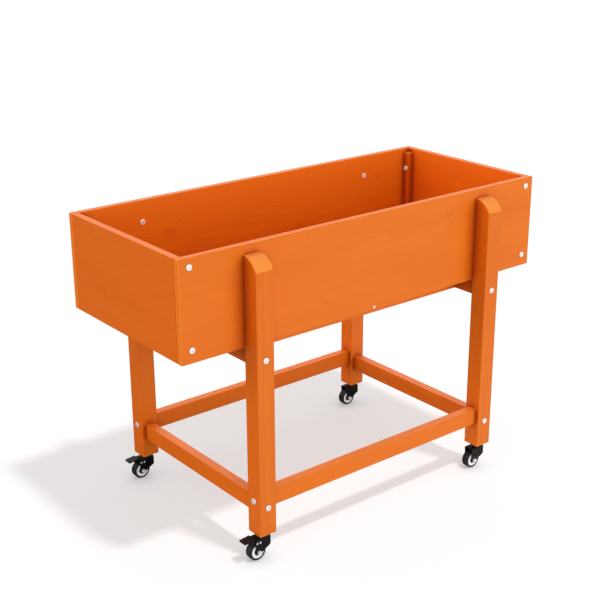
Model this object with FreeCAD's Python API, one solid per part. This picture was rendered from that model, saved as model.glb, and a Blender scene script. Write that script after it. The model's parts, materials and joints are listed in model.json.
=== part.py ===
import FreeCAD, Part
import math
import os
from collections import namedtuple

# Raised planter on legs: a painted timber box carried by four outside legs on swivel casters.
# Millimetres. +X runs along the box, -Y is the front, +Z is up.
# The origin is on the floor, under the middle of the box.

# Box
box_length = 1200.0
box_depth = 508.0               # outer face of the front board to outer face of the back board
board_height = 260.0
board_thickness = 19.0
board_edge_round = 1.5
floor_thickness = 12.0
floor_play = 1.0                # gap between the floor panel and the boards around it
drain_hole_radius = 6.0
drain_hole_pitch = 150.0        # wanted distance between drain holes, and from the edge
corner_batten_side = 20.0
corner_batten_drop = 12.0       # top of the corner battens below the rim

# Legs and rails
leg_side = 51.0
leg_inset = 180.0               # end of the box to the outer side of a leg
leg_below_box = 504.0           # underside of a leg to underside of the box
leg_top_drop = 24.0             # highest point of a leg below the rim
leg_top_fall = 33.0             # drop of the arc over the top of a leg, level where it meets the box
leg_edge_round = 2.0
rail_thickness = 27.0
rail_height = 47.0
rail_edge_round = 1.5
long_rail_rise = 95.0           # underside of a leg to the middle of a long lower rail
short_rail_rise = 78.0          # underside of a leg to the middle of a short lower rail
bearer_setback = 75.0           # outer face of a long board to the near face of a floor bearer

# Screws
screw_head_radius = 8.2
screw_head_height = 3.2
screw_head_round = 2.2
screw_shank_radius = 2.8
screw_key_width = 5.0           # across the flats of the hexagonal key socket
screw_key_depth = 1.6
small_head_radius = 4.0
small_head_height = 1.6
small_head_round = 1.0
small_shank_radius = 1.6
small_key_width = 3.0
small_key_depth = 1.0
rail_screw_bite = 38.0          # length of a screw inside the end grain of a rail
leg_screw_bite = 34.0           # length of a screw inside a leg, put in from inside the box
end_screw_bite = 14.0           # length of a screw inside an end board
floor_edge_screw_bite = 30.0    # length of a small screw inside the edge of the floor
floor_corner_screw_bite = 12.0  # length of a small screw inside the foot of a corner batten
corner_screw_top_drop = 23.0    # corner screw below the rim
corner_screw_bottom_rise = 33.0  # corner screw above the underside of the box
inner_screw_spacing_in = 60.0   # screws put in from inside the box, from its rim and its underside
pilot_clearance = 0.2           # screw shank to the wood around it

# Casters
wheel_radius = 25.0
wheel_width = 21.0
tyre_shoulder_round = 2.5
tread_groove_depth = 0.8
tread_groove_width = 1.4
tread_groove_offset = 4.0       # middle of the wheel to the middle of a tread groove
hub_radius = 19.2
hub_recess = 0.8                # face of the hub below the side of the tyre
bush_flange_radius = 11.0
bush_flange_thickness = 2.0
bush_barrel_radius = 5.5
axle_drop = 47.0                # underside of a leg to the axle
axle_radius = 3.0
axle_head_radius = 6.0
axle_head_height = 2.6
axle_head_round = 1.4
axle_key_width = 4.0
axle_key_depth = 1.4
axle_nut_width = 10.0
axle_nut_height = 6.0
axle_nut_round = 0.8
axle_end_length = 1.5           # of the bolt beyond its nut
caster_trail = 23.0             # swivel axis to the axle
fork_inside_width = 26.0
fork_sheet = 2.0
fork_bend_radius = 4.0
fork_top_drop = 9.0             # underside of a leg to the top of the fork
fork_front_reach = 14.0         # swivel axis to the front edge of the fork
fork_back_reach = 33.0          # swivel axis to the back edge of the fork's top
fork_front_depth = 26.0         # top of the fork to the end of its upright front edge
fork_end_radius = 7.5           # rounded lower end of a fork cheek
fork_front_corner_round = 5.0
collar_width = 17.0             # across the flats of the hexagonal collar under the leg
collar_height = 3.0
stem_radius = 4.8
stem_length = 26.0
insert_radius = 7.0
insert_length = 28.0
king_pin_radius = 4.0
king_pin_head_radius = 6.5
king_pin_head_height = 2.0
ball_cup_radius = 13.0
ball_cup_round = 1.5
ball_cup_wall = 1.2
ball_radius = 1.6
ball_ring_radius = 8.6
ball_count = 12
ball_groove_depth = 0.5
running_clearance = 0.05        # radial, for a pin in the hole it turns in
passing_clearance = 0.3         # between caster pieces that move past each other
fit_clearance = 0.1             # radial, for caster pieces that stay together

# Brake pedal
pivot_back = 18.7               # swivel axis to the pedal's pivot rivet
pivot_drop = 20.0               # underside of a leg to the pedal's pivot rivet
stop_rivet_distance = 9.8       # pivot rivet to the stop rivet behind it
rivet_radius = 1.5
rivet_head_radius = 2.8
rivet_head_height = 1.0
pedal_sheet = 1.6
pedal_eye_radius = 3.4
pedal_root_gap = 2.0            # back edge of the fork's top to the pedal's plate
pedal_root_drop = 5.0           # underside of a leg to the plate's top beside the fork
pedal_reach = 66.0              # swivel axis to the pedal's tip
pedal_tip_drop = 10.0           # underside of a leg to the top of the pedal's tip
pedal_pad_width = 28.0
pedal_pad_length = 20.0
pedal_pad_corner_round = 4.0
pedal_flange_depth = 5.0
pedal_travel = 14.0             # degrees the pedal turns to bring its shoe down to the tyre
shoe_gap = 0.4                  # shoe to tyre when the pedal is down
shoe_thickness = 4.0
shoe_start_angle = 110.0        # degrees around the axle, counted from the front of the caster
shoe_end_angle = 130.0
grip_rib_count = 3
grip_rib_height = 0.6
grip_rib_width = 1.4
grip_rib_pitch = 3.4

# Levels and faces that follow from the sizes above
leg_bottom_z = axle_drop + wheel_radius
box_bottom_z = leg_bottom_z + leg_below_box
box_top_z = box_bottom_z + board_height
leg_top_z = box_top_z - leg_top_drop
half_length = box_length / 2
half_depth = box_depth / 2
inner_half_length = half_length - board_thickness
inner_half_depth = half_depth - board_thickness
leg_outer_x = half_length - leg_inset
leg_inner_x = leg_outer_x - leg_side
leg_middle_x = (leg_outer_x + leg_inner_x) / 2
leg_middle_y = half_depth + leg_side / 2
rail_inset = (leg_side - rail_thickness) / 2
cross_rail_z = box_bottom_z - rail_height / 2
long_rail_z = leg_bottom_z + long_rail_rise
short_rail_z = leg_bottom_z + short_rail_rise
axle_z = leg_bottom_z - axle_drop
fork_top_z = leg_bottom_z - fork_top_drop
fork_half_inside = fork_inside_width / 2
fork_half_outside = fork_half_inside + fork_sheet
ball_ring_z = fork_top_z - ball_groove_depth + ball_radius + passing_clearance

ScrewKind = namedtuple("ScrewKind", "head_radius head_height head_round shank_radius key_width key_depth")
frame_screw = ScrewKind(screw_head_radius, screw_head_height, screw_head_round,
                        screw_shank_radius, screw_key_width, screw_key_depth)
floor_screw = ScrewKind(small_head_radius, small_head_height, small_head_round,
                        small_shank_radius, small_key_width, small_key_depth)

sides = {"front": -1, "back": 1}
ends = {"left": -1, "right": 1}
braked_end = "left"

X = FreeCAD.Vector(1, 0, 0)
Y = FreeCAD.Vector(0, 1, 0)
Z = FreeCAD.Vector(0, 0, 1)
touching = 0.001                # distances below this count as none when edges are picked

# One caster is modelled with its swivel axis on the Z axis and is then copied under each leg.
axle = FreeCAD.Vector(-caster_trail, 0, axle_z)
pivot = FreeCAD.Vector(-pivot_back, 0, leg_bottom_z - pivot_drop)
stop = pivot - X * stop_rivet_distance


def point(x, y, z):
    return FreeCAD.Vector(x, y, z)


def block(x_range, y_range, z_range):
    """A box between two limits along each axis, given in either order."""
    low = point(min(x_range), min(y_range), min(z_range))
    size = point(max(x_range), max(y_range), max(z_range)) - low
    return Part.makeBox(size.x, size.y, size.z, low)


def rod(start, direction, length, radius):
    return Part.makeCylinder(radius, length, start, direction)


def extruded(outline, direction):
    """The solid swept by a closed outline of edges along a direction."""
    return Part.Face(Part.Wire(outline)).extrude(direction)


def outline_of(corners):
    return [Part.makeLine(a, b) for a, b in zip(corners, corners[1:] + corners[:1])]


def sheet(corners, width):
    """A flat-sided plate: an outline in the XZ plane, widened evenly to both sides along Y."""
    return extruded(outline_of([corner - Y * (width / 2) for corner in corners]), Y * width)


def edges_along(shape, axis):
    """The straight edges of a shape that run along one axis."""
    found = []
    for edge in shape.Edges:
        run = edge.Vertexes[-1].Point - edge.Vertexes[0].Point
        if run.Length > touching and abs(run.dot(axis)) > run.Length - touching:
            found.append(edge)
    return found


def edges_at(edges, place, axis):
    """Those edges that begin in the plane through a place and square to an axis."""
    return [edge for edge in edges if abs((edge.Vertexes[0].Point - place).dot(axis)) < touching]


def rims_at(shape, place, axis):
    """The full-circle edges of a shape that lie in the plane through a place, square to an axis."""
    return edges_at([edge for edge in shape.Edges if edge.Closed], place, axis)


def hexagon(centre, direction, across_flats, length):
    """A six-sided prism that starts at centre and runs along direction."""
    first = X if direction.cross(Z).Length < touching else Z
    second = direction.cross(first)
    corner_radius = across_flats / math.sqrt(3)
    corners = []
    for turn in range(6):
        angle = math.radians(60 * turn)
        corners.append(centre + first * (corner_radius * math.cos(angle))
                       + second * (corner_radius * math.sin(angle)))
    return extruded(outline_of(corners), direction * length)


def around(centre, radius, degrees):
    """A place on a circle in the XZ plane, counted from +X towards +Z."""
    angle = math.radians(degrees)
    return centre + X * (radius * math.cos(angle)) + Z * (radius * math.sin(angle))


def ring_sector(centre, inner, outer, start, end, width):
    """Part of a flat ring about an axis along Y, between two angles, centred on its width."""
    middle = (start + end) / 2
    near = centre - Y * (width / 2)
    outer_ends = [around(near, outer, start), around(near, outer, end)]
    inner_ends = [around(near, inner, end), around(near, inner, start)]
    outline = [Part.Arc(outer_ends[0], around(near, outer, middle), outer_ends[1]).toShape(),
               Part.makeLine(outer_ends[1], inner_ends[0]),
               Part.Arc(inner_ends[0], around(near, inner, middle), inner_ends[1]).toShape(),
               Part.makeLine(inner_ends[1], outer_ends[0])]
    return extruded(outline, Y * width)


def crosswise(place, width, radius):
    """A rod along Y, centred on a place."""
    return rod(place - Y * (width / 2), Y, width, radius)


# Screws

def screw(seat, direction, length, kind):
    """A round-headed screw: the head stands on the seat and the shank runs along direction."""
    top = seat - direction * kind.head_height
    head = rod(top, direction, kind.head_height, kind.head_radius)
    head = head.makeFillet(kind.head_round, rims_at(head, top, direction))
    head = head.cut(hexagon(top, direction, kind.key_width, kind.key_depth))
    straight = length - kind.shank_radius
    shank = rod(seat, direction, straight, kind.shank_radius)
    tip = Part.makeCone(kind.shank_radius, 0, kind.shank_radius, seat + direction * straight, direction)
    return head.fuse([shank, tip]).removeSplitter()


def pilot(seat, direction, length, kind):
    """The hole in the wood for the screw of the same seat."""
    return rod(seat, direction, length + pilot_clearance, kind.shank_radius + pilot_clearance)


def box_screws(side, end):
    """Screws of one corner of the box, as (node, seat, direction, length, kind)."""
    batten_x = end * (inner_half_length - corner_batten_side / 2)
    batten_y = side * (inner_half_depth - corner_batten_side / 2)
    batten_face_x = end * (inner_half_length - corner_batten_side)
    corner_length = board_thickness + corner_batten_side - 2 * pilot_clearance
    found = []
    for z in (box_top_z - corner_screw_top_drop, box_bottom_z + corner_screw_bottom_rise):
        seat = point(batten_x, side * half_depth, z)
        found.append(("box_corner_screws", seat, Y * -side, corner_length, frame_screw))
    for z in (box_top_z - inner_screw_spacing_in, box_bottom_z + inner_screw_spacing_in):
        seat = point(batten_face_x, batten_y, z)
        found.append(("end_board_screws", seat, X * end, corner_batten_side + end_screw_bite, frame_screw))
        seat = point(end * leg_middle_x, side * inner_half_depth, z)
        found.append(("leg_screws", seat, Y * side, board_thickness + leg_screw_bite, frame_screw))
    seat = point(batten_x, batten_y, box_bottom_z)
    found.append(("floor_corner_screws", seat, Z, floor_thickness + floor_corner_screw_bite, floor_screw))
    return found


def frame_screws(side, end):
    """Screws through one leg and beside it, as (node, seat, direction, length, kind)."""
    leg_x = end * leg_middle_x
    leg_face_y = side * (half_depth + leg_side)
    through_leg = leg_side + rail_screw_bite
    bearer_y = side * (half_depth - bearer_setback - rail_thickness / 2)
    bearer_seat = point(end * (leg_outer_x - rail_inset), bearer_y, cross_rail_z)
    rail_seat = point(end * leg_outer_x, side * leg_middle_y, long_rail_z)
    return [
        ("cross_rail_screws", point(leg_x, leg_face_y, cross_rail_z), Y * -side, through_leg, frame_screw),
        ("short_rail_screws", point(leg_x, leg_face_y, short_rail_z), Y * -side, through_leg, frame_screw),
        ("long_rail_screws", rail_seat, X * -end, through_leg, frame_screw),
        ("bearer_screws", bearer_seat, X * -end, rail_thickness + rail_screw_bite, frame_screw),
    ]


def screw_list():
    found = []
    for side in sides.values():
        for end in ends.values():
            found += box_screws(side, end) + frame_screws(side, end)
        seat = point(0, side * half_depth, box_bottom_z + floor_thickness / 2)
        length = board_thickness + floor_edge_screw_bite
        found.append(("floor_edge_screws", seat, Y * -side, length, floor_screw))
    return found


# Timber

def timber(x_range, y_range, z_range, eased_axes, radius, pilots):
    """A straight piece of wood with its edges along some axes eased, drilled for its screws."""
    piece = block(x_range, y_range, z_range)
    piece = piece.makeFillet(radius, [edge for axis in eased_axes for edge in edges_along(piece, axis)])
    return piece.cut(pilots)


def box_boards(pilots):
    z_range = (box_bottom_z, box_top_z)
    parts = {}
    for name, side in sides.items():
        y_range = (side * half_depth, side * inner_half_depth)
        parts[name + "_board"] = timber((-half_length, half_length), y_range, z_range,
                                        (X, Y, Z), board_edge_round, pilots)
    for name, end in ends.items():
        x_range = (end * half_length, end * inner_half_length)
        parts[name + "_end_board"] = timber(x_range, (-inner_half_depth, inner_half_depth), z_range,
                                            (Y,), board_edge_round, pilots)
    return parts


def evenly_spaced(half_span, pitch):
    """Places across a span, even from edge to edge and about one pitch apart."""
    gaps = max(2, round(2 * half_span / pitch))
    return [half_span * (2 * turn / gaps - 1) for turn in range(1, gaps)]


def floor_panel(pilots):
    half_x = inner_half_length - floor_play
    half_y = inner_half_depth - floor_play
    z_range = (box_bottom_z, box_bottom_z + floor_thickness)
    panel = block((-half_x, half_x), (-half_y, half_y), z_range)
    drains = [rod(point(x, y, box_bottom_z), Z, floor_thickness, drain_hole_radius)
              for x in evenly_spaced(half_x, drain_hole_pitch)
              for y in evenly_spaced(half_y, drain_hole_pitch)]
    return panel.cut(drains + pilots)


def corner_battens(pilots):
    z_range = (box_bottom_z + floor_thickness, box_top_z - corner_batten_drop)
    parts = {}
    for side_name, side in sides.items():
        y_range = (side * inner_half_depth, side * (inner_half_depth - corner_batten_side))
        for end_name, end in ends.items():
            x_range = (end * inner_half_length, end * (inner_half_length - corner_batten_side))
            name = side_name + "_" + end_name + "_corner_batten"
            parts[name] = timber(x_range, y_range, z_range, (Z,), board_edge_round, pilots)
    return parts


def leg(side, end, pilots):
    """A square post whose top is an arc, level at the box and falling towards the outer face."""
    start_x = min(end * leg_inner_x, end * leg_outer_x)
    arc_radius = (leg_side ** 2 + leg_top_fall ** 2) / (2 * leg_top_fall)
    arc_centre = point(start_x, side * half_depth, leg_top_z - arc_radius)
    arc_turn = math.atan2(leg_side, arc_radius - leg_top_fall)

    def on_arc(turn):
        rise = Z * (arc_radius * math.cos(turn))
        return arc_centre + Y * (side * arc_radius * math.sin(turn)) + rise

    foot_back = point(start_x, side * half_depth, leg_bottom_z)
    foot_front = foot_back + Y * (side * leg_side)
    outline = [Part.makeLine(foot_back, on_arc(0)),
               Part.Arc(on_arc(0), on_arc(arc_turn / 2), on_arc(arc_turn)).toShape(),
               Part.makeLine(on_arc(arc_turn), foot_front),
               Part.makeLine(foot_front, foot_back)]
    post = extruded(outline, X * leg_side)
    post = post.makeFillet(leg_edge_round, post.Edges)
    socket_start = point(end * leg_middle_x, side * leg_middle_y, leg_bottom_z)
    socket = rod(socket_start, Z, insert_length + fit_clearance, insert_radius + fit_clearance)
    return post.cut(pilots + [socket])


def legs(pilots):
    return {side_name + "_" + end_name + "_leg": leg(side, end, pilots)
            for side_name, side in sides.items() for end_name, end in ends.items()}


def middle_range(middle, size):
    return (middle - size / 2, middle + size / 2)


def rails(pilots):
    """Cross rails and floor bearers under the box, and the four rails of the lower frame."""
    cross_rail_inner_x = leg_inner_x + rail_inset
    under_box = middle_range(cross_rail_z, rail_height)
    parts = {}
    for name, end in ends.items():
        x_range = middle_range(end * leg_middle_x, rail_thickness)
        y_range = (-half_depth, half_depth)
        parts[name + "_cross_rail"] = timber(x_range, y_range, under_box, (Y,), rail_edge_round, pilots)
        parts[name + "_lower_rail"] = timber(x_range, y_range, middle_range(short_rail_z, rail_height),
                                             (Y,), rail_edge_round, pilots)
    for name, side in sides.items():
        near_y = side * (half_depth - bearer_setback)
        parts[name + "_floor_bearer"] = timber((-cross_rail_inner_x, cross_rail_inner_x),
                                               (near_y, near_y - side * rail_thickness), under_box,
                                               (X,), rail_edge_round, pilots)
        y_range = middle_range(side * leg_middle_y, rail_thickness)
        parts[name + "_lower_rail"] = timber((-leg_inner_x, leg_inner_x), y_range,
                                             middle_range(long_rail_z, rail_height),
                                             (X,), rail_edge_round, pilots)
    return parts


# Casters: what stays with the leg

def caster_insert():
    start = point(0, 0, leg_bottom_z)
    return rod(start, Z, insert_length, insert_radius).cut(
        rod(start, Z, insert_length, stem_radius + fit_clearance))


def caster_stem():
    """Stem, collar under the leg, and the headed king pin that the fork turns on."""
    collar_start = point(0, 0, leg_bottom_z - collar_height)
    head_top = point(0, 0, fork_top_z - fork_sheet - passing_clearance)
    stem = rod(collar_start, Z, collar_height + stem_length, stem_radius)
    collar = hexagon(collar_start, Z, collar_width, collar_height)
    pin = rod(head_top, Z, collar_start.z - head_top.z, king_pin_radius)
    head = rod(head_top, -Z, king_pin_head_height, king_pin_head_radius)
    return stem.fuse([collar, pin, head]).removeSplitter()


def ball_cup():
    """A dish under the collar, whose skirt hides the balls."""
    start = point(0, 0, fork_top_z + passing_clearance)
    top = point(0, 0, leg_bottom_z - collar_height)
    height = top.z - start.z
    hollow_height = ball_ring_z + ball_radius + fit_clearance - start.z
    dish = rod(start, Z, height, ball_cup_radius)
    dish = dish.makeFillet(ball_cup_round, rims_at(dish, top, Z))
    return dish.cut([rod(start, Z, hollow_height, ball_cup_radius - ball_cup_wall),
                     rod(start, Z, height, king_pin_radius + fit_clearance)])


def ball_set():
    balls = []
    for turn in range(ball_count):
        angle = 2 * math.pi * turn / ball_count
        centre = point(ball_ring_radius * math.cos(angle), ball_ring_radius * math.sin(angle), ball_ring_z)
        balls.append(Part.makeSphere(ball_radius, centre))
    return Part.makeCompound(balls)


# Casters: what swivels

def touch_point(outside, centre, radius, turn):
    """Where a line from an outside place touches a circle in the XZ plane; turn picks its side."""
    reach = outside - centre
    spread = math.acos(radius / reach.Length)
    return around(centre, radius, math.degrees(math.atan2(reach.z, reach.x) + turn * spread))


def channel():
    """An upside-down trough of bent sheet, as wide as the fork and longer than it at the back."""
    x_range = (-fork_back_reach - 2 * fork_end_radius, fork_front_reach)
    shells = []
    for inset, radius in ((0, fork_bend_radius), (fork_sheet, fork_bend_radius - fork_sheet)):
        half_width = fork_half_outside - inset
        top = fork_top_z - inset
        shell = block(x_range, (-half_width, half_width), (axle_z - fork_end_radius, top))
        bends = edges_at(edges_along(shell, X), point(0, 0, top), Z)
        shells.append(shell.makeFillet(radius, bends))
    return shells[0].cut(shells[1])


def fork(braked):
    """Bent sheet: a crown that turns on the king pin, and two cheeks that reach down to the axle."""
    width = 2 * fork_half_outside
    near = -Y * fork_half_outside
    top_back = point(-fork_back_reach, 0, fork_top_z) + near
    top_front = point(fork_front_reach, 0, fork_top_z) + near
    low_front = top_front - Z * fork_front_depth
    end_centre = axle + near
    front_touch = touch_point(low_front, end_centre, fork_end_radius, -1)
    back_touch = touch_point(top_back, end_centre, fork_end_radius, 1)
    outline = [Part.makeLine(back_touch, top_back), Part.makeLine(top_back, top_front),
               Part.makeLine(top_front, low_front), Part.makeLine(low_front, front_touch),
               Part.Arc(front_touch, end_centre - Z * fork_end_radius, back_touch).toShape()]
    profile = extruded(outline, Y * width)
    corner = [edge for edge in edges_along(profile, Y)
              if (edge.Vertexes[0].Point - low_front).cross(Y).Length < touching]
    profile = profile.makeFillet(fork_front_corner_round, corner)
    crown_hole = rod(point(0, 0, fork_top_z), -Z, fork_sheet, king_pin_radius + running_clearance)
    groove = Part.makeTorus(ball_ring_radius, ball_radius + passing_clearance, point(0, 0, ball_ring_z), Z)
    holes = [crown_hole, groove, crosswise(axle, width, axle_radius + fit_clearance)]
    if braked:
        holes += [crosswise(place, width, rivet_radius + fit_clearance) for place in (pivot, stop)]
    return channel().common(profile).cut(holes)


def axle_bolt():
    """The wheel's bolt and its nut: the nut on the front cheek, the head on the back one."""
    head_start = axle + Y * (fork_half_outside + axle_head_height)
    nut_start = axle - Y * (fork_half_outside + axle_nut_height)
    head = rod(head_start, -Y, axle_head_height, axle_head_radius)
    head = head.makeFillet(axle_head_round, rims_at(head, head_start, Y))
    head = head.cut(hexagon(head_start, -Y, axle_key_width, axle_key_depth))
    shank_length = axle_end_length + axle_nut_height + 2 * fork_half_outside
    shank = rod(nut_start - Y * axle_end_length, Y, shank_length, axle_radius)
    nut = hexagon(nut_start, Y, axle_nut_width, axle_nut_height)
    level = [edge for edge in nut.Edges if abs(edge.tangentAt(edge.FirstParameter).dot(Y)) < touching]
    nut = nut.makeFillet(axle_nut_round, edges_at(level, nut_start, Y))
    nut = nut.cut(rod(nut_start, Y, axle_nut_height, axle_radius + fit_clearance))
    return Part.makeCompound([shank.fuse(head), nut])


def brake_rivets():
    """The rivet that the pedal turns on, and the one that stops it."""
    rivets = []
    for place in (pivot, stop):
        shank = crosswise(place, 2 * fork_half_outside, rivet_radius)
        heads = [rod(place + Y * (side * fork_half_outside), Y * side, rivet_head_height, rivet_head_radius)
                 for side in sides.values()]
        rivets.append(shank.fuse(heads))
    return Part.makeCompound(rivets)


# Casters: the wheel

def wheel_tyre():
    tyre = crosswise(axle, wheel_width, wheel_radius)
    tyre = tyre.makeFillet(tyre_shoulder_round, [edge for edge in tyre.Edges if edge.Closed])
    grooves = [crosswise(axle + Y * (side * tread_groove_offset), tread_groove_width, wheel_radius).cut(
        crosswise(axle + Y * (side * tread_groove_offset), tread_groove_width,
                  wheel_radius - tread_groove_depth)) for side in sides.values()]
    return tyre.cut(grooves + [crosswise(axle, wheel_width, hub_radius + fit_clearance)])


def hub_width():
    return wheel_width - 2 * hub_recess


def wheel_hub():
    """The core of the wheel; its faces show as a ring between the tyre and the bushes."""
    cuts = [crosswise(axle, hub_width(), bush_barrel_radius + fit_clearance)]
    for side in sides.values():
        face = axle + Y * (side * hub_width() / 2)
        cuts.append(rod(face, Y * -side, bush_flange_thickness, bush_flange_radius + fit_clearance))
    return crosswise(axle, hub_width(), hub_radius).cut(cuts)


def wheel_bushes():
    """Two flanged bushes, one let into each face of the hub, that run on the axle bolt."""
    half_hub = hub_width() / 2
    boss = fork_half_inside - half_hub - passing_clearance
    bushes = []
    for side in sides.values():
        face = axle + Y * (side * half_hub)
        flange = rod(face, Y * -side, bush_flange_thickness, bush_flange_radius)
        barrel_length = boss + half_hub - fit_clearance
        barrel = rod(face + Y * (side * boss), Y * -side, barrel_length, bush_barrel_radius)
        bore = crosswise(axle, 2 * fork_half_inside, axle_radius + running_clearance)
        bushes.append(flange.fuse(barrel).cut(bore))
    return Part.makeCompound(bushes)


# Casters: the brake pedal

def released(shape):
    """Turn a shape from where it is with the pedal pressed to where it is with the pedal up."""
    turned = shape.copy()
    turned.rotate(pivot, Y, pedal_travel)
    return turned


def brake_shoe(width):
    inner = wheel_radius + shoe_gap
    outer = inner + shoe_thickness
    return released(ring_sector(axle, inner, outer, shoe_start_angle, shoe_end_angle, width))


def stop_slot(width):
    """The curved slot that lets the pedal turn about its pivot, past the stop rivet."""
    half_slot = rivet_radius + passing_clearance
    first = 180 - pedal_travel
    slot = ring_sector(pivot, stop_rivet_distance - half_slot, stop_rivet_distance + half_slot,
                       first, 180, width)
    slot_ends = [crosswise(around(pivot, stop_rivet_distance, turn), width, half_slot)
                 for turn in (first, 180)]
    return slot.fuse(slot_ends)


def brake_pedal():
    """A pressed pedal: a sloping plate with a wider ribbed pad, two ears on the pivot, and a shoe."""
    outer_width = fork_inside_width - 2 * passing_clearance
    inner_width = outer_width - 2 * pedal_sheet
    rib_width = pedal_pad_width - 2 * pedal_pad_corner_round
    root = point(-fork_back_reach - pedal_root_gap, 0, leg_bottom_z - pedal_root_drop)
    tip = point(-pedal_reach, 0, leg_bottom_z - pedal_tip_drop)
    along = (tip - root).normalize()
    down = along.cross(Y)
    neck = tip - along * pedal_pad_length
    flange_end = neck + down * pedal_flange_depth
    under_root = point(root.x, 0, fork_top_z - fork_bend_radius - passing_clearance)
    heel = released(Part.Vertex(around(axle, wheel_radius + shoe_gap, shoe_end_angle))).Point
    ear_outline = [pivot + Z * pedal_eye_radius, under_root, root, neck, flange_end, heel,
                   pivot - Z * pedal_eye_radius]
    ears = sheet(ear_outline, outer_width).fuse(crosswise(pivot, outer_width, pedal_eye_radius))
    ears = ears.cut(block((-pedal_reach, 0), middle_range(0, inner_width), (0, leg_bottom_z)))
    plate = sheet([root, neck, neck + down * pedal_sheet, root + down * pedal_sheet], outer_width)
    pad = sheet([neck, tip, tip + down * pedal_sheet, neck + down * pedal_sheet], pedal_pad_width)
    pad = pad.makeFillet(pedal_pad_corner_round, edges_along(pad, down))
    ribs = []
    for turn in range(grip_rib_count):
        near = tip - along * (grip_rib_pitch * (turn + 1))
        far = near - along * grip_rib_width
        rise = -down * grip_rib_height
        ribs.append(sheet([near, far, far + rise, near + rise], rib_width))
    pedal = plate.fuse([pad, ears, brake_shoe(outer_width)] + ribs)
    holes = [crosswise(pivot, outer_width, rivet_radius + running_clearance), stop_slot(outer_width)]
    return pedal.cut(holes).removeSplitter()


# Assembly

def under_leg(shape, side, end):
    """A copy of a caster piece, moved from the Z axis to its place under a leg."""
    placed = shape.copy()
    placed.translate(point(end * leg_middle_x, side * leg_middle_y, 0))
    return placed


def under_every_leg(shape):
    return Part.makeCompound([under_leg(shape, side, end)
                              for side in sides.values() for end in ends.values()])


def casters():
    parts = {
        "caster_inserts": under_every_leg(caster_insert()),
        "caster_stems": under_every_leg(caster_stem()),
        "caster_ball_cups": under_every_leg(ball_cup()),
        "caster_balls": under_every_leg(ball_set()),
    }
    for end_name, end in ends.items():
        braked = end_name == braked_end
        pieces = {"caster_fork": fork(braked), "caster_axle": axle_bolt(), "wheel_tyre": wheel_tyre(),
                  "wheel_hub": wheel_hub(), "wheel_bushes": wheel_bushes()}
        if braked:
            pieces["brake_pedal"] = brake_pedal()
            pieces["brake_rivets"] = brake_rivets()
        for side_name, side in sides.items():
            for piece_name, shape in pieces.items():
                parts[side_name + "_" + end_name + "_" + piece_name] = under_leg(shape, side, end)
    return parts


def screws(found):
    groups = {}
    for node, *place in found:
        groups.setdefault(node, []).append(screw(*place))
    return {node: Part.makeCompound(group) for node, group in groups.items()}


def assembly():
    found = screw_list()
    pilots = [pilot(*place) for node, *place in found]
    parts = {"floor_panel": floor_panel(pilots)}
    for group in (box_boards(pilots), corner_battens(pilots), legs(pilots), rails(pilots),
                  screws(found), casters()):
        parts.update(group)
    return parts


os.makedirs("parts", exist_ok=True)
for part_name, shape in assembly().items():
    shape.exportStep("parts/" + part_name + ".step")
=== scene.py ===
import json
import math
import random

import bpy
from mathutils import Euler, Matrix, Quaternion, Vector


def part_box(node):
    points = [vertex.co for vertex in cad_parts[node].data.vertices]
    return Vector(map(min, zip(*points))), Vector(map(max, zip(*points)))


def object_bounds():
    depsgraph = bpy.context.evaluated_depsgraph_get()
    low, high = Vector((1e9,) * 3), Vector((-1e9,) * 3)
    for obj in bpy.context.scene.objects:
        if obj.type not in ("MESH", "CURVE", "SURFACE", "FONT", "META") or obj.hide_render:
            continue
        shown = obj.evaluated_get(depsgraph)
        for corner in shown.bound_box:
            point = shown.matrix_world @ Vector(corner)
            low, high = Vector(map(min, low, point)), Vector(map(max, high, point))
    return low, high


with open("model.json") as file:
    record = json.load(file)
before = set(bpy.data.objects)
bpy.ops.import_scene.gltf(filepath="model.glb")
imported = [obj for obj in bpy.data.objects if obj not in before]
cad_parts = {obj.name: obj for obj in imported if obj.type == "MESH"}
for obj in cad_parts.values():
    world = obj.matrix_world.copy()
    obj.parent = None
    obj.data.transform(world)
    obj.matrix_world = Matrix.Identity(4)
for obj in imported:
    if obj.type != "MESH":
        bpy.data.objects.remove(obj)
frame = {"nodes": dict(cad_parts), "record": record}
cadLow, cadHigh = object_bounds()
scene = bpy.context.scene
parts = frame["nodes"]
middle = (cadLow + cadHigh) / 2
print("frame loaded:", len(parts), "parts")

cameraLook = {
    "lens": 70.86,                   # mm
    "sensor": 36.0,
    "azimuth": -39.295,              # degrees round from the front, towards the braked end
    "elevation": 21.99,
    "distance": 3.3374,              # metres from the middle of the planter
    "aim": (-0.0052, 0.0504, 0.0981),  # the point looked at, from the middle of the planter
    "roll": -0.25,                   # degrees
}


def placeCamera(look):
    azimuth = math.radians(look["azimuth"])
    elevation = math.radians(look["elevation"])
    level = math.cos(elevation)
    outward = Vector((math.sin(azimuth) * level, -math.cos(azimuth) * level, math.sin(elevation)))
    camera = bpy.data.objects.new("viewCamera", bpy.data.cameras.new("viewCamera"))
    scene.collection.objects.link(camera)
    camera.data.lens = look["lens"]
    camera.data.sensor_width = look["sensor"]
    camera.location = middle + outward * look["distance"]
    sight = middle + Vector(look["aim"]) - camera.location
    turn = sight.to_track_quat("-Z", "Y") @ Quaternion((0, 0, 1), math.radians(look["roll"]))
    camera.rotation_euler = turn.to_euler()
    scene.camera = camera


placeCamera(cameraLook)
print("camera placed")


def feed(tree, socket, value):
    # a value is a plain number or colour, or a socket to link from
    if isinstance(value, bpy.types.NodeSocket):
        tree.links.new(value, socket)
    else:
        socket.default_value = value


def put(tree, kind, feeds=None, **settings):
    node = tree.nodes.new(kind)
    for name, value in settings.items():
        setattr(node, name, value)
    for socket, value in (feeds or {}).items():
        feed(tree, node.inputs[socket], value)
    return node


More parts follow.
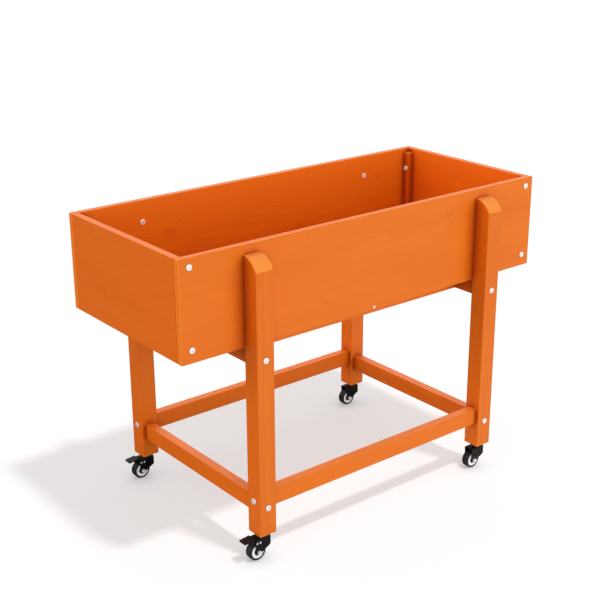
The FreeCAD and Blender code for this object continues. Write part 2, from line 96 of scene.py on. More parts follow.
def calc(tree, operation, *values, clamp=False):
    feeds = dict(enumerate(values))
    return put(tree, "ShaderNodeMath", feeds, operation=operation, use_clamp=clamp).outputs[0]


def vectorCalc(tree, operation, *values):
    node = put(tree, "ShaderNodeVectorMath", dict(enumerate(values)), operation=operation)
    return node.outputs["Value" if operation in ("LENGTH", "DOT_PRODUCT") else "Vector"]


def splitAxes(tree, vector):
    return put(tree, "ShaderNodeSeparateXYZ", {0: vector}).outputs


def remap(tree, value, low, high, toLow=0.0, toHigh=1.0, smooth=True):
    feeds = {"Value": value, "From Min": low, "From Max": high, "To Min": toLow, "To Max": toHigh}
    kind = "SMOOTHSTEP" if smooth else "LINEAR"
    return put(tree, "ShaderNodeMapRange", feeds, interpolation_type=kind).outputs["Result"]


def noise(tree, place, scale=1.0, detail=2.0, roughness=0.5):
    feeds = {"Vector": place, "Scale": scale, "Detail": detail, "Roughness": roughness}
    return put(tree, "ShaderNodeTexNoise", feeds).outputs["Fac"]


def mixColour(tree, amount, first, second):
    node = put(tree, "ShaderNodeMix", data_type="RGBA")
    for slot, value in ((0, amount), (6, first), (7, second)):   # the factor, then the two colours
        feed(tree, node.inputs[slot], value)
    return node.outputs[2]


def opaque(levels):
    return tuple(levels) + (1.0,)


def rgb(red, green, blue):
    # screen colour, 0 to 255, to the linear colour that shaders use
    def linear(level):
        share = level / 255
        return share / 12.92 if share <= 0.04045 else ((share + 0.055) / 1.055) ** 2.4
    return opaque(linear(level) for level in (red, green, blue))


def newGroup(name, takes, gives):
    tree = bpy.data.node_groups.new(name, "ShaderNodeTree")
    for label, value in takes.items():
        kind = "NodeSocketVector" if isinstance(value, tuple) else "NodeSocketFloat"
        socket = tree.interface.new_socket(label, in_out="INPUT", socket_type=kind)
        socket.default_value = value
    for label in gives:
        tree.interface.new_socket(label, in_out="OUTPUT", socket_type="NodeSocketFloat")
    return tree, tree.nodes.new("NodeGroupInput").outputs, tree.nodes.new("NodeGroupOutput").inputs


def useGroup(tree, group, feeds):
    return put(tree, "ShaderNodeGroup", feeds, node_tree=group).outputs


def newMaterial(name):
    material = bpy.data.materials.new(name)
    material.use_nodes = True
    tree = material.node_tree
    return material, tree, tree.nodes["Principled BSDF"]


def objectPlace(tree):
    return put(tree, "ShaderNodeTexCoord").outputs["Object"]


def objectFacing(tree):
    return put(tree, "ShaderNodeTexCoord").outputs["Normal"]


def worldFacing(tree):
    return put(tree, "ShaderNodeNewGeometry").outputs["Normal"]


bevelSamples = 4


def bumpInto(tree, shader, height, look):
    # relief on top of arrises that are rounded over by softEdge metres
    rounded = put(tree, "ShaderNodeBevel", {"Radius": look["softEdge"]}, samples=bevelSamples)
    feeds = {"Height": height, "Strength": look["bump"], "Distance": look["relief"],
             "Normal": rounded.outputs["Normal"]}
    tree.links.new(put(tree, "ShaderNodeBump", feeds).outputs["Normal"], shader.inputs["Normal"])


# One knot through a board: how far it pushes the rings aside, its heart and its own fine rings
knotShape = {
    "lumpScale": 60.0,               # lumps in its outline, per metre
    "lumpDepth": 0.5,
    "pushFall": 0.45,                # how soon the rings round it run straight again
    "heartEdge": (0.72, 0.5),        # from clear to full, in knot sizes from its middle
    "heartShade": 0.55,
    "rimOuter": (0.8, 0.64),
    "rimInner": (0.42, 0.6),
    "rimShade": 0.6,
    "whorlPitch": 42.0,              # how close its own fine rings lie
    "whorlEdge": (0.9, 0.5),
}


def makeKnot(shape):
    tree, given, result = newGroup(
        "knot", {"Place": (0.0, 0.0, 0.0), "Centre": (0.0, 0.0, 0.0), "Size": 0.02, "Along": 0.55},
        ("Push", "Heart", "Whorl"))
    away = vectorCalc(tree, "SUBTRACT", given["Place"], given["Centre"])
    squeeze = put(tree, "ShaderNodeCombineXYZ", {"X": given["Along"], "Y": 0.0, "Z": 1.0}).outputs[0]
    distance = vectorCalc(tree, "LENGTH", vectorCalc(tree, "MULTIPLY", away, squeeze))
    distance = calc(tree, "DIVIDE", distance, given["Size"])
    lumps = calc(tree, "SUBTRACT", noise(tree, given["Place"], shape["lumpScale"]), 0.5)
    distance = calc(tree, "MULTIPLY_ADD", lumps, shape["lumpDepth"], distance)
    squared = calc(tree, "MULTIPLY", distance, distance)
    fall = calc(tree, "EXPONENT", calc(tree, "MULTIPLY", squared, -shape["pushFall"]))
    tree.links.new(calc(tree, "MULTIPLY", fall, given["Size"]), result["Push"])
    heart = calc(tree, "MULTIPLY", remap(tree, distance, *shape["heartEdge"]), shape["heartShade"])
    rim = calc(tree, "MULTIPLY", remap(tree, distance, *shape["rimOuter"]),
               remap(tree, distance, *shape["rimInner"]))
    tree.links.new(calc(tree, "MULTIPLY_ADD", rim, shape["rimShade"], heart), result["Heart"])
    whorl = calc(tree, "SINE", calc(tree, "MULTIPLY", distance, shape["whorlPitch"]))
    whorl = calc(tree, "MULTIPLY", whorl, remap(tree, distance, *shape["whorlEdge"]))
    tree.links.new(whorl, result["Whorl"])
    return tree


# Growth rings round a pith line beside the board, and fine fibres along it.
# Each stretch is how often the noise changes per metre: along the grain, across it and through it
figureShape = {
    "seedStep": (7.3, 3.1, 5.7),     # metres that the noise moves for each step of seed
    "bend": (1.3, 6.0, 6.0),         # slow bends of the rings
    "bendDetail": 1.0,
    "ripple": (6.0, 40.0, 40.0),     # and small ones
    "rippleDetail": 2.0,
    "rippleDepth": 0.08,
    "ringStart": 0.12,               # darkness where one ring meets the next
    # share of the way through a ring, and how dark it is there
    "ringStops": ((0.12, 0.0), (0.55, 0.22), (0.82, 1.0), (0.93, 0.85)),
    "fibres": (9.0, 750.0, 750.0),
    "fibreDetail": 3.0,
    "fibreRoughness": 0.6,
    "fibreContrast": (0.25, 0.75),
    "patches": (2.2, 14.0, 14.0),
    "patchDetail": 3.0,
    "patchRoughness": 0.55,
    "patchContrast": (0.3, 0.7),
}


def makeTimberFigure(shape):
    tree, given, result = newGroup(
        "timberFigure",
        {"Place": (0.0, 0.0, 0.0), "Pith": (0.0, 0.1, 0.0), "Seed": 0.0, "Ring width": 0.005,
         "Wander": 0.02, "Push": 0.0},
        ("Rings", "Fibres", "Patches"))
    seedFeeds = {0: shape["seedStep"], "Scale": given["Seed"]}
    seedShift = put(tree, "ShaderNodeVectorMath", seedFeeds, operation="SCALE").outputs["Vector"]
    shifted = vectorCalc(tree, "ADD", given["Place"], seedShift)

    def streaks(amounts, detail, roughness=0.5):
        stretched = vectorCalc(tree, "MULTIPLY", shifted, amounts)
        return noise(tree, stretched, detail=detail, roughness=roughness)

    bend = calc(tree, "SUBTRACT", streaks(shape["bend"], shape["bendDetail"]), 0.5)
    ripple = calc(tree, "SUBTRACT", streaks(shape["ripple"], shape["rippleDetail"]), 0.5)
    wander = calc(tree, "ADD", bend, calc(tree, "MULTIPLY", ripple, shape["rippleDepth"]))
    fromPith = vectorCalc(tree, "SUBTRACT", given["Place"], given["Pith"])
    fromPith = vectorCalc(tree, "MULTIPLY", fromPith, (0.0, 1.0, 1.0))
    radius = calc(tree, "ADD", vectorCalc(tree, "LENGTH", fromPith),
                  calc(tree, "MULTIPLY", wander, given["Wander"]))
    radius = calc(tree, "ADD", radius, given["Push"])
    turn = calc(tree, "FRACT", calc(tree, "DIVIDE", radius, given["Ring width"]))
    ramp = put(tree, "ShaderNodeValToRGB", {"Fac": turn})
    ramp.color_ramp.interpolation = "EASE"
    stops = ramp.color_ramp.elements
    for stop, position in ((stops[0], 0.0), (stops[1], 1.0)):
        stop.position = position
        stop.color = opaque([shape["ringStart"]] * 3)
    for position, level in shape["ringStops"]:
        stops.new(position).color = opaque([level] * 3)
    tree.links.new(ramp.outputs["Color"], result["Rings"])
    fibres = streaks(shape["fibres"], shape["fibreDetail"], shape["fibreRoughness"])
    tree.links.new(remap(tree, fibres, *shape["fibreContrast"]), result["Fibres"])
    patches = streaks(shape["patches"], shape["patchDetail"], shape["patchRoughness"])
    tree.links.new(remap(tree, patches, *shape["patchContrast"]), result["Patches"])
    return tree


# 1 on an arris, 0 on a flat face, broken up a little
edgeShape = {
    "likeness": (0.985, 0.75),       # of the rounded and the flat normal, from no wear to full wear
    "breakScale": 90.0,              # per metre
    "breakDetail": 4.0,
    "breakRoughness": 0.65,
}


def makeEdgeMask(shape):
    tree, given, result = newGroup(
        "edgeMask", {"Place": (0.0, 0.0, 0.0), "Width": 0.003, "Breakup": 0.4}, ("Edge",))
    rounded = put(tree, "ShaderNodeBevel", {"Radius": given["Width"]}, samples=bevelSamples)
    agreement = vectorCalc(tree, "DOT_PRODUCT", rounded.outputs["Normal"], worldFacing(tree))
    sharp = remap(tree, agreement, *shape["likeness"])
    rough = noise(tree, given["Place"], shape["breakScale"], shape["breakDetail"],
                  shape["breakRoughness"])
    broken = calc(tree, "SUBTRACT", 1.0, calc(tree, "MULTIPLY", rough, given["Breakup"]))
    tree.links.new(calc(tree, "MULTIPLY", sharp, broken), result["Edge"])
    return tree


# Dust settles in clouds on what faces up
dustShape = {
    "facing": (0.1, 1.0),            # how far up a face looks, from none to all
    "cloud": (0.35, 0.75),
    "cloudDetail": 5.0,
    "cloudRoughness": 0.65,
}


def makeDust(shape):
    tree, given, result = newGroup(
        "dust", {"Place": (0.0, 0.0, 0.0), "Amount": 0.5, "Grain": 60.0}, ("Dust",))
    facing = remap(tree, splitAxes(tree, worldFacing(tree))["Z"], *shape["facing"])
    spread = noise(tree, given["Place"], given["Grain"], shape["cloudDetail"], shape["cloudRoughness"])
    settled = calc(tree, "MULTIPLY", facing, remap(tree, spread, *shape["cloud"]))
    tree.links.new(calc(tree, "MULTIPLY", settled, given["Amount"]), result["Dust"])
    return tree


creviceSamples = 8


def makeCrevice():
    # 1 in the corner where two pieces meet, 0 in the open; the materials paint shade with it
    tree, given, result = newGroup("crevice", {"Reach": 0.03}, ("Crevice",))
    openness = put(tree, "ShaderNodeAmbientOcclusion", {"Distance": given["Reach"]},
                   samples=creviceSamples).outputs["AO"]
    tree.links.new(calc(tree, "SUBTRACT", 1.0, openness), result["Crevice"])
    return tree


# Fine uneven surface of moulded, coated or plated parts
speckleShape = {
    "fineDetail": 3.0,
    "broadShare": 0.07,              # the broad specks' scale, as a share of the fine ones'
    "broadDetail": 4.0,
    "broadRoughness": 0.6,
    "broadContrast": (0.3, 0.7),
}


def makeSpeckle(shape):
    tree, given, result = newGroup(
        "speckle", {"Place": (0.0, 0.0, 0.0), "Size": 400.0}, ("Fine", "Broad"))
    tree.links.new(noise(tree, given["Place"], given["Size"], shape["fineDetail"]), result["Fine"])
    broadScale = calc(tree, "MULTIPLY", given["Size"], shape["broadShare"])
    broad = noise(tree, given["Place"], broadScale, shape["broadDetail"], shape["broadRoughness"])
    tree.links.new(remap(tree, broad, *shape["broadContrast"]), result["Broad"])
    return tree


knotGroup = makeKnot(knotShape)
figureGroup = makeTimberFigure(figureShape)
edgeGroup = makeEdgeMask(edgeShape)
dustGroup = makeDust(dustShape)
creviceGroup = makeCrevice()
speckleGroup = makeSpeckle(speckleShape)
print("shader effects made")

# Painted timber: each board has its own growth rings, knots and fibres under the paint
paintLook = {
    "paint": rgb(228, 114, 16),
    "boardSpread": 0.05,             # how far a board's tone strays from the paint's
    "thin": rgb(241, 135, 30),       # over hard latewood and on the arrises
    "ringShow": 0.26,                # each show is how far that effect comes through, from 0 to 1
    "thick": rgb(210, 96, 7),        # where the paint lies deep, in the open grain
    "fibreShow": 0.24,
    "patchShow": 0.25,
    "paintedTopLight": rgb(252, 140, 54),     # painted light on top of the lower rails
    "paintedTopLightFacing": (0.6, 0.95),     # how far up a face looks, from none to all
    "paintedTopLightPatches": (1.0, 0.85),    # how much of it shows between patches and on them
    "heart": rgb(196, 84, 8),        # over a knot
    "knotShow": 0.4,
    "ends": rgb(246, 135, 34),       # over end grain
    "endFacing": (0.04, 0.18),       # how far along the grain a face looks, from none to all
    "endShow": 0.8,
    "edgeWidth": 0.0025,             # metres
    "edgeBreakup": 0.8,
    "edgeShow": 0.5,
    "corner": rgb(150, 42, 0),       # painted shade in the corners between pieces
    "cornerReach": 0.06,             # metres
    "cornerDepth": (0.05, 0.62),     # how shut in a spot is, from no painted shade to full
    "cornerShow": 0.9,
    "topFacing": (0.3, 0.9),
    "topCorner": 0.25,               # how much of the painted corner shade is left on a face that looks up
    "shine": 0.24,
    "roughness": 0.3,
    "fibreGloss": 0.12,
    "patchGloss": 0.08,
    "bump": 0.7,
    "relief": 0.0002,                # metres
    "ringRelief": 0.6,
    "fibreRelief": -0.5,
    "whorlRelief": 0.12,
    "softEdge": 0.0014,              # metres
}

legLook = dict(paintLook, ends=rgb(247, 150, 60))

# what each board draws from at random, in metres; the seed has no unit
grainChances = {
    "first": 7,                      # starts the draws
    "pithDepth": (0.05, 0.09),
    "pithHeight": (-0.06, 0.06),
    "seed": (0, 20),
    "ringWidth": (0.0045, 0.0065),
    "wander": (0.02, 0.035),
}

grainTurns = {"x": (0.0, 0.0, 0.0), "y": (0.0, 0.0, -math.pi / 2), "z": (0.0, math.pi / 2, 0.0)}


def alongGrain(point, axis):
    # a place in the planter, turned so that its first number runs along the grain
    turned = Vector(point)
    turned.rotate(Euler(grainTurns[axis]))
    return turned


def growFigure(tree, place, centre, chance, push):
    side = chance.choice((-1, 1))
    away = side * chance.uniform(*grainChances["pithDepth"])
    pith = centre + Vector((0, away, chance.uniform(*grainChances["pithHeight"])))
    feeds = {"Place": place, "Pith": pith, "Seed": chance.uniform(*grainChances["seed"]),
             "Ring width": chance.uniform(*grainChances["ringWidth"]),
             "Wander": chance.uniform(*grainChances["wander"])}
    if push is not None:
        feeds["Push"] = push
    return useGroup(tree, figureGroup, feeds)


def sumKnots(tree, place, axis, knots):
    sums = {}
    for spot, size, along in knots:
        where = {"Place": place, "Centre": alongGrain(spot, axis), "Size": size, "Along": along}
        knot = useGroup(tree, knotGroup, where)
        for label in ("Push", "Heart", "Whorl"):
            sums[label] = calc(tree, "ADD", knot[label], sums.get(label, 0.0))
    return sums


def paintedTimber(name, axis, low, high, chance, knots, look, paintedTopLight):
    material, tree, shader = newMaterial(name + "Paint")
    place = put(tree, "ShaderNodeMapping", {"Vector": objectPlace(tree), "Rotation": grainTurns[axis]},
                vector_type="POINT").outputs["Vector"]
    centre = alongGrain((low + high) / 2, axis)
    knotSums = sumKnots(tree, place, axis, knots)
    figure = growFigure(tree, place, centre, chance, knotSums.get("Push"))
    edgeFeeds = {"Place": place, "Width": look["edgeWidth"], "Breakup": look["edgeBreakup"]}
    edge = useGroup(tree, edgeGroup, edgeFeeds)["Edge"]
    # painted shade where pieces meet, kept weaker on faces that look up
    crevice = useGroup(tree, creviceGroup, {"Reach": look["cornerReach"]})["Crevice"]
    facing = objectFacing(tree)
    upward = splitAxes(tree, facing)["Z"]
    lessOnTop = remap(tree, upward, *look["topFacing"], 1.0, look["topCorner"])
    crevice = calc(tree, "MULTIPLY", crevice, lessOnTop)

    def layer(colour, amount, show, over):
        return mixColour(tree, calc(tree, "MULTIPLY", amount, show), colour, look[over])

    # paint depth over the grain
    tone = 1 + chance.uniform(-look["boardSpread"], look["boardSpread"])
    colour = opaque(level * tone for level in look["paint"][:3])
    colour = layer(colour, figure["Rings"], look["ringShow"], "thin")
    colour = layer(colour, figure["Fibres"], look["fibreShow"], "thick")
    colour = layer(colour, figure["Patches"], look["patchShow"], "thick")
    # painted light on the tops of the lower rails
    if paintedTopLight:
        topFace = calc(tree, "MULTIPLY", remap(tree, upward, *look["paintedTopLightFacing"]), paintedTopLight)
        uneven = remap(tree, figure["Patches"], 0.0, 1.0, *look["paintedTopLightPatches"])
        colour = layer(colour, topFace, uneven, "paintedTopLight")
    if knots:
        colour = layer(colour, knotSums["Heart"], look["knotShow"], "heart")
    alongFacing = splitAxes(tree, vectorCalc(tree, "ABSOLUTE", facing))[axis.upper()]
    colour = layer(colour, remap(tree, alongFacing, *look["endFacing"]), look["endShow"], "ends")
    colour = layer(colour, edge, look["edgeShow"], "thin")
    # painted shade in the corners
    corner = remap(tree, crevice, *look["cornerDepth"], 0.0, look["cornerShow"])
    tree.links.new(mixColour(tree, corner, colour, look["corner"]), shader.inputs["Base Color"])
    shader.inputs["Specular IOR Level"].default_value = look["shine"]
    gloss = calc(tree, "MULTIPLY_ADD", figure["Fibres"], look["fibreGloss"], look["roughness"])
    gloss = calc(tree, "MULTIPLY_ADD", figure["Patches"], look["patchGloss"], gloss)
    tree.links.new(gloss, shader.inputs["Roughness"])
    height = calc(tree, "MULTIPLY_ADD", figure["Rings"], look["ringRelief"],
                  calc(tree, "MULTIPLY", figure["Fibres"], look["fibreRelief"]))
    if knots:
        height = calc(tree, "MULTIPLY_ADD", knotSums["Whorl"], look["whorlRelief"], height)
    bumpInto(tree, shader, height, look)
    return material


timberAxes = {
    "front_board": "x", "back_board": "x", "floor_panel": "x",
    "left_end_board": "y", "right_end_board": "y",
    "left_cross_rail": "y", "right_cross_rail": "y", "left_lower_rail": "y", "right_lower_rail": "y",
    "front_floor_bearer": "x", "back_floor_bearer": "x", "front_lower_rail": "x", "back_lower_rail": "x",
}
for cornerName in ("front_left", "front_right", "back_left", "back_right"):
    timberAxes[cornerName + "_leg"] = "z"
    timberAxes[cornerName + "_corner_batten"] = "z"

# knots: where along and up the board from its middle, size in metres, and how round (1) or drawn out (0)
knotPlaces = {
    "front_board": ((0.268, 0.080, 0.017, 1.1), (-0.170, -0.070, 0.010, 0.6)),
    "back_board": ((-0.310, 0.030, 0.016, 0.6), (0.140, -0.050, 0.020, 0.5), (0.450, 0.060, 0.011, 0.8)),
    "left_end_board": ((0.090, -0.040, 0.010, 0.7),),
    "right_end_board": ((-0.090, 0.050, 0.016, 0.5),),
}

# how much painted light lies on top of each lower rail, from 0 to 1
paintedLightOnTops = {
    "front_lower_rail": 1.0,
    "left_lower_rail": 0.5,
    "right_lower_rail": 0.7,
    "back_lower_rail": 0.3,
}


def knotSpots(name, axis, low, high):
    centre = (low + high) / 2
    for along, up, size, roundness in knotPlaces.get(name, ()):
        step = Vector((along, 0, up)) if axis == "x" else Vector((0, along, up))
        yield centre + step, size, roundness


def dress(node, material):
    part = parts[node]
    part.data.materials.clear()
    part.data.materials.append(material)


def paintTimber():
    chance = random.Random(grainChances["first"])
    for node, axis in sorted(timberAxes.items()):
        low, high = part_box(node)
        look = legLook if node.endswith("_leg") else paintLook
        knots = list(knotSpots(node, axis, low, high))
        paintedTopLight = paintedLightOnTops.get(node, 0.0)
        dress(node, paintedTimber(node, axis, low, high, chance, knots, look, paintedTopLight))


paintTimber()
print("timber painted")

# Screws, inserts, stems and rivets; lengths in metres here and below
zincLook = {
    "colour": rgb(250, 250, 249),
    # stains on the speckles, and painted shade in the crevices
    "stainAndShade": rgb(205, 205, 203),
    "metallic": 0.45,
    "roughness": 0.24,
    "speckleSize": 900.0,            # per metre
    "speckleStain": 0.35,
    "speckleGloss": 0.14,
    "creviceReach": 0.003,
    # painted shade in the crevices, such as screw sockets
    "creviceShade": 0.9,
    "bump": 0.15,
    "relief": 0.00008,
    "softEdge": 0.0004,
}


def platedSteel(name, look):
    material, tree, shader = newMaterial(name)
    speckle = useGroup(tree, speckleGroup, {"Place": objectPlace(tree), "Size": look["speckleSize"]})
    crevice = useGroup(tree, creviceGroup, {"Reach": look["creviceReach"]})["Crevice"]
    # speckle stains, and painted shade in the crevices
    stainAndShade = calc(tree, "MULTIPLY_ADD", speckle["Broad"], look["speckleStain"],
                 calc(tree, "MULTIPLY", crevice, look["creviceShade"]), clamp=True)
    tree.links.new(mixColour(tree, stainAndShade, look["colour"], look["stainAndShade"]), shader.inputs["Base Color"])
    shader.inputs["Metallic"].default_value = look["metallic"]
    gloss = calc(tree, "MULTIPLY_ADD", speckle["Fine"], look["speckleGloss"], look["roughness"])
    tree.links.new(gloss, shader.inputs["Roughness"])
    bumpInto(tree, shader, speckle["Fine"], look)
    return material


# Forks, pedals and ball cups
blackLook = {
    "colour": rgb(6, 6, 8),
    "shine": 0.2,
    "roughness": 0.24,
    "worn": rgb(52, 52, 56),
    "edgeWidth": 0.0007,
    "edgeBreakup": 1.0,
    "edgeShow": 0.55,
    "dust": rgb(104, 98, 90),
    "dustAmount": 0.12,
    "dustGrain": 120.0,              # per metre
    "dustGloss": 1.5,
    "speckleSize": 1200.0,
    "speckleGloss": 0.12,
    "bump": 0.3,
    "relief": 0.00012,
    "softEdge": 0.0006,
}


def coatedSteel(name, look):
    material, tree, shader = newMaterial(name)
    place = objectPlace(tree)
    speckle = useGroup(tree, speckleGroup, {"Place": place, "Size": look["speckleSize"]})
    edgeFeeds = {"Place": place, "Width": look["edgeWidth"], "Breakup": look["edgeBreakup"]}
    edge = useGroup(tree, edgeGroup, edgeFeeds)["Edge"]
    dustFeeds = {"Place": place, "Amount": look["dustAmount"], "Grain": look["dustGrain"]}
    dust = useGroup(tree, dustGroup, dustFeeds)["Dust"]
    colour = mixColour(tree, calc(tree, "MULTIPLY", edge, look["edgeShow"]), look["colour"], look["worn"])
    tree.links.new(mixColour(tree, dust, colour, look["dust"]), shader.inputs["Base Color"])
    shader.inputs["Specular IOR Level"].default_value = look["shine"]
    gloss = calc(tree, "MULTIPLY_ADD", speckle["Broad"], look["speckleGloss"], look["roughness"])
    gloss = calc(tree, "MULTIPLY_ADD", dust, look["dustGloss"], gloss)
    tree.links.new(gloss, shader.inputs["Roughness"])
    bumpInto(tree, shader, speckle["Fine"], look)
    return material


# Wheel hubs, whose ring faces are white, and the dark bushes beside them
coreLook = {
    "colour": rgb(250, 250, 249),
    "marks": rgb(236, 234, 230),     # grime on speckles and arrises, and painted shade in the crevices of the white hubs
    "roughness": 0.33,
    "speckleSize": 700.0,
    "speckleShow": 0.25,
    "speckleGloss": 0.12,
    "edgeWidth": 0.0006,
    "edgeBreakup": 1.0,
    "edgeShow": 0.2,
    "creviceReach": 0.003,
    # painted shade in the crevices of the white hubs
    "creviceShow": 0.7,
    "bump": 0.2,
    "relief": 0.0001,
    "softEdge": 0.0004,
}

bushLook = dict(coreLook, colour=rgb(20, 20, 21), marks=rgb(66, 66, 66), roughness=0.42, softEdge=0.0003)


def mouldedPlastic(name, look):
    material, tree, shader = newMaterial(name)
    place = objectPlace(tree)
    speckle = useGroup(tree, speckleGroup, {"Place": place, "Size": look["speckleSize"]})
    edgeFeeds = {"Place": place, "Width": look["edgeWidth"], "Breakup": look["edgeBreakup"]}
    edge = useGroup(tree, edgeGroup, edgeFeeds)["Edge"]
    crevice = useGroup(tree, creviceGroup, {"Reach": look["creviceReach"]})["Crevice"]
    colour = look["colour"]
    # marks on speckles, arrises and crevices; on the white hubs the crevice mark is painted shade
    for mark, show in ((speckle["Broad"], "speckleShow"), (edge, "edgeShow"), (crevice, "creviceShow")):
        colour = mixColour(tree, calc(tree, "MULTIPLY", mark, look[show]), colour, look["marks"])
    tree.links.new(colour, shader.inputs["Base Color"])
    gloss = calc(tree, "MULTIPLY_ADD", speckle["Broad"], look["speckleGloss"], look["roughness"])
    tree.links.new(gloss, shader.inputs["Roughness"])
    bumpInto(tree, shader, speckle["Fine"], look)
    return material


rubberLook = {
    "colour": rgb(9, 9, 10),
    "shine": 0.3,
    "roughness": 0.5,
    "scuffed": rgb(36, 35, 34),
    "scuffShow": 0.3,
    "dust": rgb(96, 90, 84),
    "dustShow": 0.22,
    "dustGloss": 0.8,
    "treadFacing": (0.6, 0.2),       # how far sideways a face looks, from side wall to tread
    "ringGap": 0.0016,               # between the moulding rings on the side walls
    "ringRelief": 0.12,
    "speckleSize": 900.0,
    "bump": 0.3,
    "relief": 0.00012,
    "softEdge": 0.0006,
}


def tyreRubber(name, axle, look):
    # moulding rings round the axle on the side walls, and floor dust ground into the tread
    material, tree, shader = newMaterial(name)
    place = objectPlace(tree)
    fromAxle = vectorCalc(tree, "MULTIPLY", vectorCalc(tree, "SUBTRACT", place, axle), (1.0, 0.0, 1.0))
    radius = vectorCalc(tree, "LENGTH", fromAxle)
    sideways = splitAxes(tree, vectorCalc(tree, "ABSOLUTE", objectFacing(tree)))["Y"]
    tread = remap(tree, sideways, *look["treadFacing"])
    rings = calc(tree, "SINE", calc(tree, "MULTIPLY", radius, 2 * math.pi / look["ringGap"]))
    rings = calc(tree, "MULTIPLY", rings, calc(tree, "SUBTRACT", 1.0, tread))
    speckle = useGroup(tree, speckleGroup, {"Place": place, "Size": look["speckleSize"]})
    dust = calc(tree, "MULTIPLY", calc(tree, "MULTIPLY", speckle["Broad"], tread), look["dustShow"])
    scuffs = calc(tree, "MULTIPLY", speckle["Broad"], look["scuffShow"])
    colour = mixColour(tree, scuffs, look["colour"], look["scuffed"])
    tree.links.new(mixColour(tree, dust, colour, look["dust"]), shader.inputs["Base Color"])
    shader.inputs["Specular IOR Level"].default_value = look["shine"]
    gloss = calc(tree, "MULTIPLY_ADD", dust, look["dustGloss"], look["roughness"])
    tree.links.new(gloss, shader.inputs["Roughness"])
    height = calc(tree, "MULTIPLY_ADD", rings, look["ringRelief"], speckle["Fine"])
    bumpInto(tree, shader, height, look)
    return material


zinc = platedSteel("zincPlate", zincLook)
black = coatedSteel("blackCoat", blackLook)
core = mouldedPlastic("wheelCore", coreLook)
bush = mouldedPlastic("wheelBush", bushLook)

finishes = {"screw_steel": zinc, "insert_steel": zinc, "caster_zinc": zinc, "caster_black": black,
            "wheel_core": core, "wheel_bush": bush}
for subpart in frame["record"]["subparts"]:
    node = subpart["node"]
    if subpart["material_slot"] == "tyre":
        tyreLow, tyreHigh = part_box(node)
        dress(node, tyreRubber(node + "Rubber", (tyreLow + tyreHigh) / 2, rubberLook))
    elif subpart["material_slot"] in finishes:
        dress(node, finishes[subpart["material_slot"]])
dress("caster_ball_cups", black)
print("casters and screws finished")

# The planter sees the floor darker towards the far left, where the shadows fall.
# The camera sees it lit in part and glowing in part, with a painted contact shadow beside the wheels
floorLook = {
    "size": 60.0,
    "colour": (0.80, 0.79, 0.79, 1.0),
    "share": 0.56,                   # how much of its lit colour the camera sees
    "glowColour": (1.0, 1.0, 1.0, 1.0),
    "glow": 0.56,                    # what the floor adds of itself, seen from the camera only
    "contactReach": 0.06,            # metres from a wheel within which painted contact shadow darkens the floor
    "contactDepth": 0.5,
    "contactColour": (0.0, 0.0, 0.0, 1.0),
    "contactSamples": 16,
    "shadeWay": (-0.62, 0.78, 0.0),
    "shadeSpan": (-0.6, 0.8),        # metres along that way, from none to all
    "shadeColour": (0.16, 0.15, 0.145, 1.0),
}


def layFloor(look):
    half = look["size"] / 2
    corners = [(-half, -half, 0), (half, -half, 0), (half, half, 0), (-half, half, 0)]
    mesh = bpy.data.meshes.new("studioFloor")
    mesh.from_pydata(corners, [], [(0, 1, 2, 3)])
    floor = bpy.data.objects.new("studioFloor", mesh)
    scene.collection.objects.link(floor)
    material, tree, shader = newMaterial("studioFloor")
    tree.nodes.remove(shader)
    rays = put(tree, "ShaderNodeLightPath").outputs
    # as the planter sees it
    towards = vectorCalc(tree, "DOT_PRODUCT", objectPlace(tree), Vector(look["shadeWay"]).normalized())
    shade = remap(tree, towards, *look["shadeSpan"])
    ground = mixColour(tree, shade, look["colour"], look["shadeColour"])
    lit = put(tree, "ShaderNodeBsdfDiffuse", {"Color": ground})
    # as the camera sees it, with painted contact shadow near the wheels
    openness = put(tree, "ShaderNodeAmbientOcclusion", {"Distance": look["contactReach"]},
                   samples=look["contactSamples"]).outputs["AO"]
    contact = calc(tree, "MULTIPLY", calc(tree, "SUBTRACT", 1.0, openness), look["contactDepth"])
    dim = opaque(level * look["share"] for level in look["colour"][:3])
    dim = mixColour(tree, contact, dim, look["contactColour"])
    glowing = mixColour(tree, contact, look["glowColour"], look["contactColour"])
    seen = put(tree, "ShaderNodeBsdfDiffuse", {"Color": dim})
    glow = put(tree, "ShaderNodeEmission", {"Color": glowing, "Strength": look["glow"]})
    both = put(tree, "ShaderNodeAddShader", {0: seen.outputs[0], 1: glow.outputs[0]})
    surface = put(tree, "ShaderNodeMixShader",
                  {0: rays["Is Camera Ray"], 1: lit.outputs[0], 2: both.outputs[0]})
    # clear from below, so that the underside can be looked at
    fromBelow = put(tree, "ShaderNodeNewGeometry").outputs["Backfacing"]
    under = calc(tree, "MULTIPLY", fromBelow, rays["Is Camera Ray"])
    clear = put(tree, "ShaderNodeBsdfTransparent")
    whole = put(tree, "ShaderNodeMixShader", {0: under, 1: surface.outputs[0], 2: clear.outputs[0]})
    tree.links.new(whole.outputs[0], tree.nodes["Material Output"].inputs["Surface"])
    mesh.materials.append(material)
    return floor


skyLook = {
    "colour": (1.0, 1.0, 1.0, 1.0),
    "low": 0.8,                      # strength near the horizon
    "high": 0.4,                     # and overhead
    "seen": 1.0,                     # strength as a plain background and in reflections
}


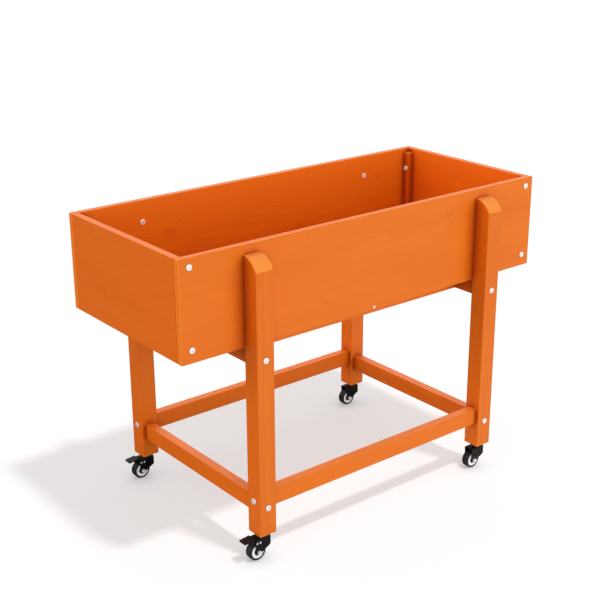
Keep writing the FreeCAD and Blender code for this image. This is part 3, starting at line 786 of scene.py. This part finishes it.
def hangSky(look):
    world = bpy.data.worlds.new("studioSky")
    world.use_nodes = True
    scene.world = world
    tree = world.node_tree
    backdrop = tree.nodes["Background"]
    backdrop.inputs["Color"].default_value = look["colour"]
    rays = put(tree, "ShaderNodeLightPath").outputs
    plain = calc(tree, "MAXIMUM", rays["Is Camera Ray"], rays["Is Glossy Ray"])
    plain = calc(tree, "MAXIMUM", plain, rays["Is Transmission Ray"])
    rise = splitAxes(tree, put(tree, "ShaderNodeTexCoord").outputs["Generated"])["Z"]
    lighting = remap(tree, rise, 0.0, 1.0, look["low"], look["high"], smooth=False)
    strength = remap(tree, plain, 0.0, 1.0, lighting, look["seen"], smooth=False)
    tree.links.new(strength, backdrop.inputs["Strength"])


# softness in degrees; each lamp lights either the floor or the planter
lampLooks = {
    "floorSun": {"way": (-0.115, 0.40, -1.0), "power": 1.85, "softness": 5.0, "lights": "floor"},
    "sun": {"way": (-0.115, 0.40, -1.0), "power": 0.25, "softness": 5.0, "lights": "planter"},
    "front": {"way": (0.15, 1.0, -0.12), "power": 1.55, "softness": 50.0, "lights": "planter"},
    "left": {"way": (1.0, -0.35, -0.35), "power": 1.5, "softness": 60.0, "lights": "planter",
             "tint": (1.0, 0.68, 0.68), "inGloss": False},
    "back": {"way": (-0.45, -0.80, -0.55), "power": 2.0, "softness": 60.0, "lights": "planter",
             "inGloss": False},
}


def hangLamp(name, look, floor):
    sun = bpy.data.lights.new(name, "SUN")
    sun.energy = look["power"]
    sun.color = look.get("tint", (1.0, 1.0, 1.0))
    sun.angle = math.radians(look["softness"])
    lamp = bpy.data.objects.new(name, sun)
    lamp.rotation_euler = Vector(look["way"]).to_track_quat("-Z", "Y").to_euler()
    lamp.visible_glossy = look.get("inGloss", True)
    scene.collection.objects.link(lamp)
    reach = bpy.data.collections.new(name + "Reach")
    reach.objects.link(floor)
    linking = reach.collection_objects[0].light_linking
    linking.link_state = "INCLUDE" if look["lights"] == "floor" else "EXCLUDE"
    lamp.light_linking.receiver_collection = reach


studioFloor = layFloor(floorLook)
hangSky(skyLook)
for lampName, lampLook in lampLooks.items():
    hangLamp(lampName, lampLook, studioFloor)
scene.view_settings.view_transform = "Standard"
print("studio lit")
